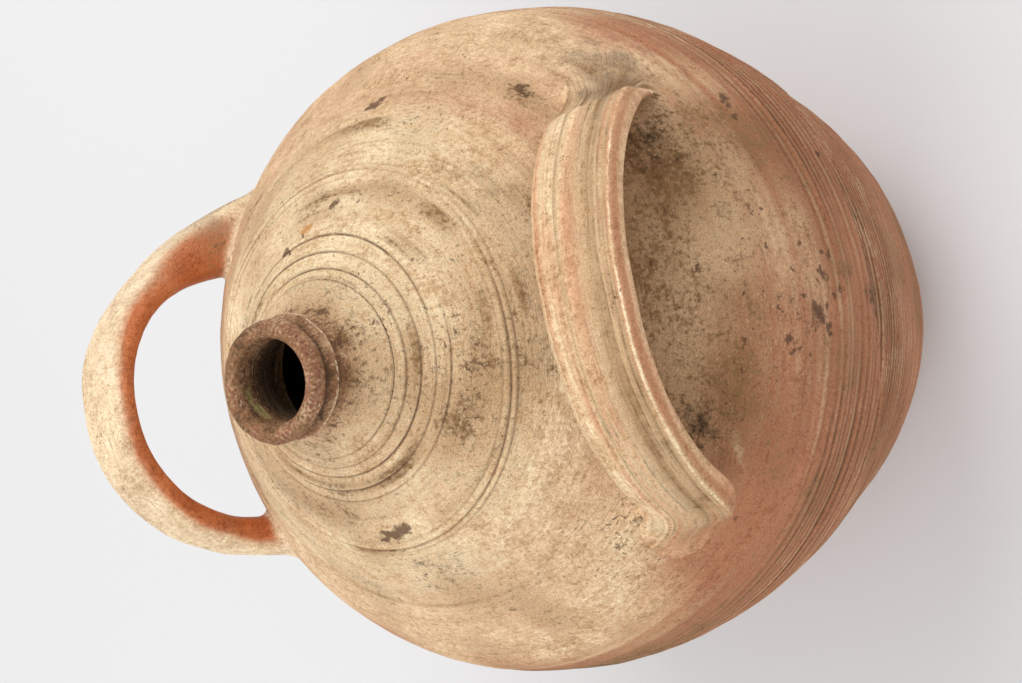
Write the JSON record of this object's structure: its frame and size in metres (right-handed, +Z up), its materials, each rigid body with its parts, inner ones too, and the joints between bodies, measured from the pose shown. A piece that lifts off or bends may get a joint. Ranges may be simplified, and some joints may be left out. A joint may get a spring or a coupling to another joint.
{
  "type": "two-handled earthenware oil jug",
  "caption": "Narrow-necked earthenware jug for storing and pouring oil, with a collared rolled lip and upright strap handles on its shoulder.",
  "frame": {"origin": "centre of the foot's flat underside", "axes": "+Z up along the turning axis, +X towards the right handle, +Y square to both; the mouth stands a few millimetres off the axis towards -Y"},
  "size_m": [0.35, 0.35, 0.4823],
  "materials": {
    "pink_clay": "unglazed pink-red earthenware, turned ribs, worn matte with brown stains",
    "buff_clay": "unglazed buff earthenware, throwing rings, dark specks and scuffs, matte",
    "stained_clay": "unglazed clay darkened by handling and oil, purple-brown speckle, low sheen",
    "pale_strap_clay": "buff strap clay with finger-drawn ridges and brown smears, matte",
    "red_strap_clay": "orange-red strap clay with a cream outer face, speckled, matte"
  },
  "bodies": {
    "root": {"lower_body": "pink_clay", "shoulder": "buff_clay", "neck": "stained_clay", "right_handle": "pale_strap_clay", "left_handle": "red_strap_clay"}
  },
  "joints": []
}
